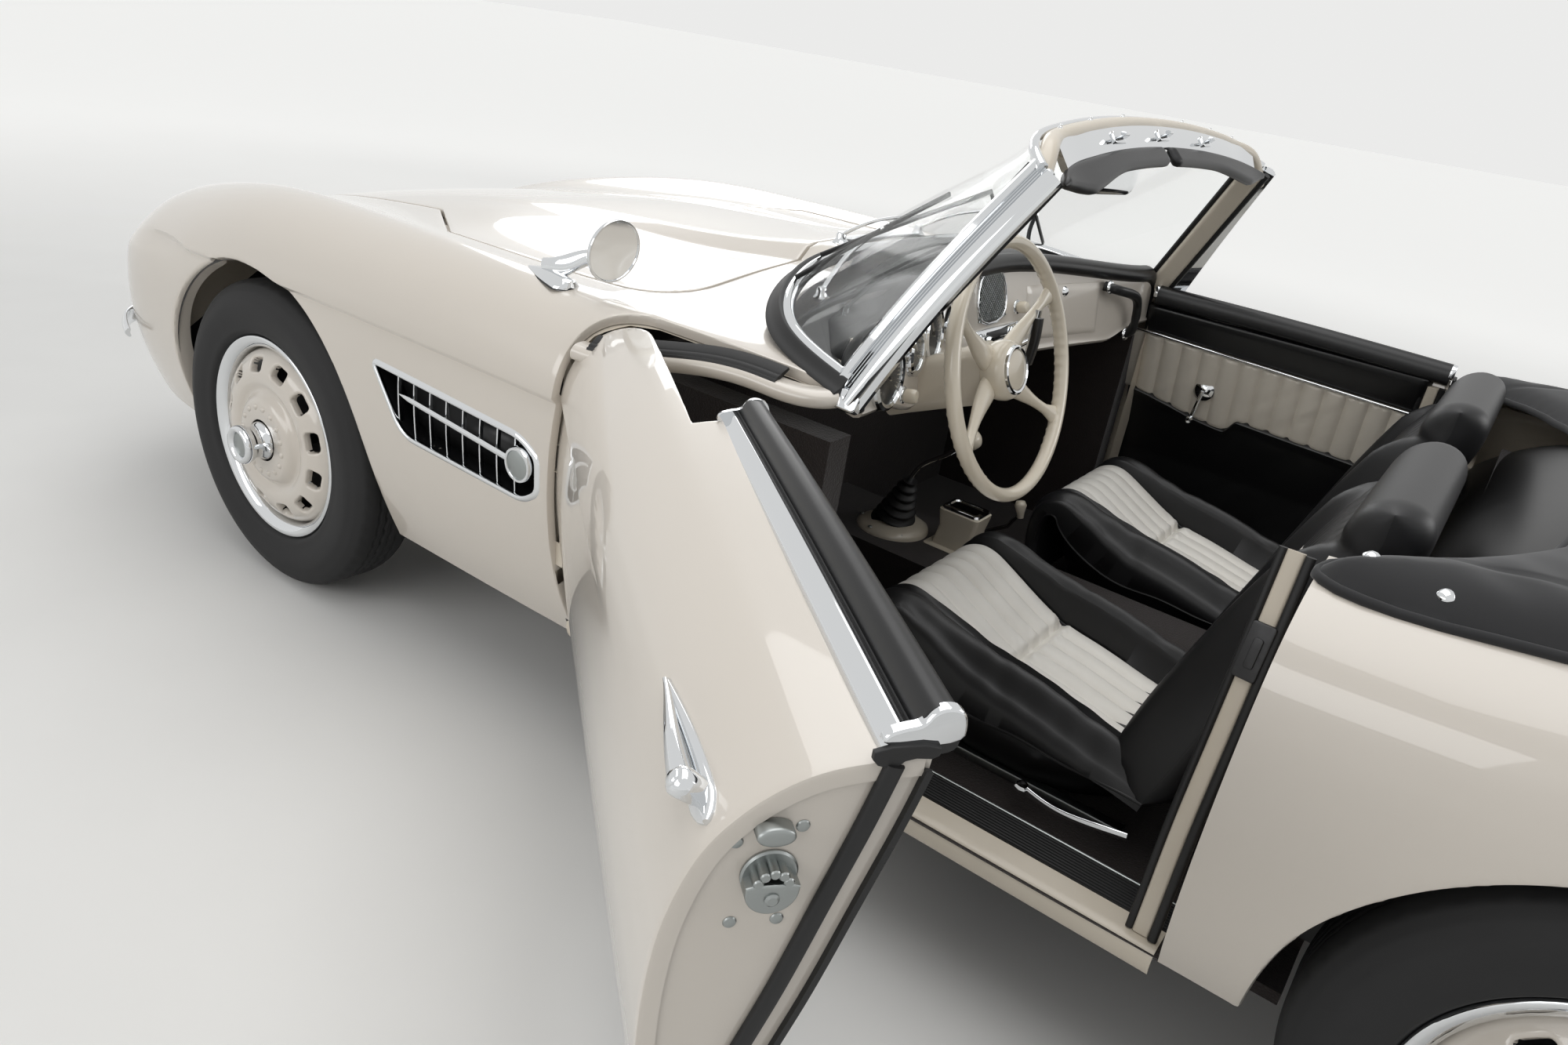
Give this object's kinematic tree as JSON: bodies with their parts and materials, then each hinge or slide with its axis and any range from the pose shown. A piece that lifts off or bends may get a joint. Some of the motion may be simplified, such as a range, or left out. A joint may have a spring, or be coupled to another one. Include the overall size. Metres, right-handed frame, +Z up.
{
  "type": "roadster convertible",
  "caption": "Open two-seat sports car with separate doors, bonnet, boot lid, steered front wheels, raked windscreen and a folded hood under its cover.",
  "frame": {"origin": "on the floor, midway between the front and rear axles, on the centre line", "axes": "+X forward, +Y to the car's left, +Z up"},
  "size_m": [4.3906, 2.358, 1.2456],
  "materials": {
    "body_paint": "gloss",
    "door_leather": "satin",
    "chrome": "polished",
    "lamp_glass": "clear",
    "clear_glass": "clear",
    "red_lens": "gloss",
    "black_vinyl": "satin",
    "cover_fabric": "woven",
    "carpet": "looped pile over steel",
    "cream_enamel": "gloss",
    "cream_plastic": "gloss",
    "seat_leather": "satin",
    "chassis_paint": "satin",
    "engine_iron": "cast",
    "exhaust_steel": "dull",
    "cast_iron": "cast",
    "tyre_rubber": "matt",
    "wheel_paint": "gloss"
  },
  "bodies": {
    "root": {"bumpers": "chrome", "chassis_rails": "chassis_paint", "cross_members": "chassis_paint", "dashboard": "body_paint", "engine": "engine_iron", "exhaust": "exhaust_steel", "floor_pan": "carpet", "front_body": "body_paint", "front_grilles": "chrome", "front_suspension": "chassis_paint", "gear_lever": "cream_plastic", "headlamps": "lamp_glass", "mirrors": "chrome", "radiator": "chassis_paint", "rear_axle": "chassis_paint", "rear_body": "body_paint", "seat_backs": "seat_leather", "seat_cushions": "seat_leather", "side_vents": "chrome", "soft_top_cover": "cover_fabric", "steering_column": "cream_enamel", "sun_visors": "black_vinyl", "tail_lamps": "red_lens", "windscreen_frame": "chrome", "windscreen_glass": "clear_glass"},
    "door_left": {"door_left": "body_paint", "door_trim_left": "door_leather", "door_handle_left": "chrome"},
    "door_right": {"door_right": "body_paint", "door_trim_right": "door_leather", "door_handle_right": "chrome"},
    "bonnet": {"bonnet": "body_paint"},
    "boot_lid": {"boot_lid": "body_paint"},
    "steering_wheel": {"steering_wheel": "cream_plastic"},
    "knuckle_left": {"knuckle_left": "cast_iron"},
    "knuckle_right": {"knuckle_right": "cast_iron"},
    "wheel_front_left": {"tyre_front_left": "tyre_rubber", "wheel_front_left": "wheel_paint", "hub_nut_front_left": "chrome"},
    "wheel_front_right": {"tyre_front_right": "tyre_rubber", "wheel_front_right": "wheel_paint", "hub_nut_front_right": "chrome"},
    "wheel_rear_left": {"tyre_rear_left": "tyre_rubber", "wheel_rear_left": "wheel_paint", "hub_nut_rear_left": "chrome"},
    "wheel_rear_right": {"tyre_rear_right": "tyre_rubber", "wheel_rear_right": "wheel_paint", "hub_nut_rear_right": "chrome"}
  },
  "joints": [
    {"name": "steer_left", "type": "hinge", "parent": "root", "child": "knuckle_left", "pos_m": [1.24, 0.612, 0.338], "axis": [0, 0, 1], "range_deg": [-28, 28]},
    {"name": "steer_right", "type": "hinge", "parent": "root", "child": "knuckle_right", "pos_m": [1.24, -0.612, 0.338], "axis": [0, 0, 1], "range_deg": [-28, 28]},
    {"name": "steering_column_turn", "type": "hinge", "parent": "root", "child": "steering_wheel", "pos_m": [-0.198, 0.339, 0.854], "axis": [-0.9548, 0, 0.2974], "range_deg": [-470, 470]},
    {"name": "spin_front_left", "type": "hinge", "parent": "knuckle_left", "child": "wheel_front_left", "pos_m": [1.24, 0.7225, 0.338], "axis": [0, 1, 0], "continuous": true},
    {"name": "spin_front_right", "type": "hinge", "parent": "knuckle_right", "child": "wheel_front_right", "pos_m": [1.24, -0.7225, 0.338], "axis": [0, 1, 0], "continuous": true},
    {"name": "spin_rear_left", "type": "hinge", "parent": "root", "child": "wheel_rear_left", "pos_m": [-1.24, 0.7125, 0.338], "axis": [0, 1, 0], "continuous": true},
    {"name": "spin_rear_right", "type": "hinge", "parent": "root", "child": "wheel_rear_right", "pos_m": [-1.24, -0.7125, 0.338], "axis": [0, 1, 0], "continuous": true},
    {"name": "door_left_hinge", "type": "hinge", "parent": "root", "child": "door_left", "pos_m": [0.32, 0.8, 0.55], "axis": [0, 0, -1], "range_deg": [-39, 21]},
    {"name": "door_right_hinge", "type": "hinge", "parent": "root", "child": "door_right", "pos_m": [0.32, -0.8, 0.55], "axis": [0, 0, 1], "range_deg": [0, 60]},
    {"name": "bonnet_hinge", "type": "hinge", "parent": "root", "child": "bonnet", "pos_m": [1.88, 0, 0.672], "axis": [0, 1, 0], "range_deg": [0, 50]},
    {"name": "boot_lid_hinge", "type": "hinge", "parent": "root", "child": "boot_lid", "pos_m": [-1.44, 0, 0.8], "axis": [0, 1, 0], "range_deg": [0, 60]}
  ],
  "couplings": [
    {"joint": "steer_right", "follows": "steer_left", "ratio": 1},
    {"joint": "steering_column_turn", "follows": "steer_left", "ratio": 16.5}
  ]
}
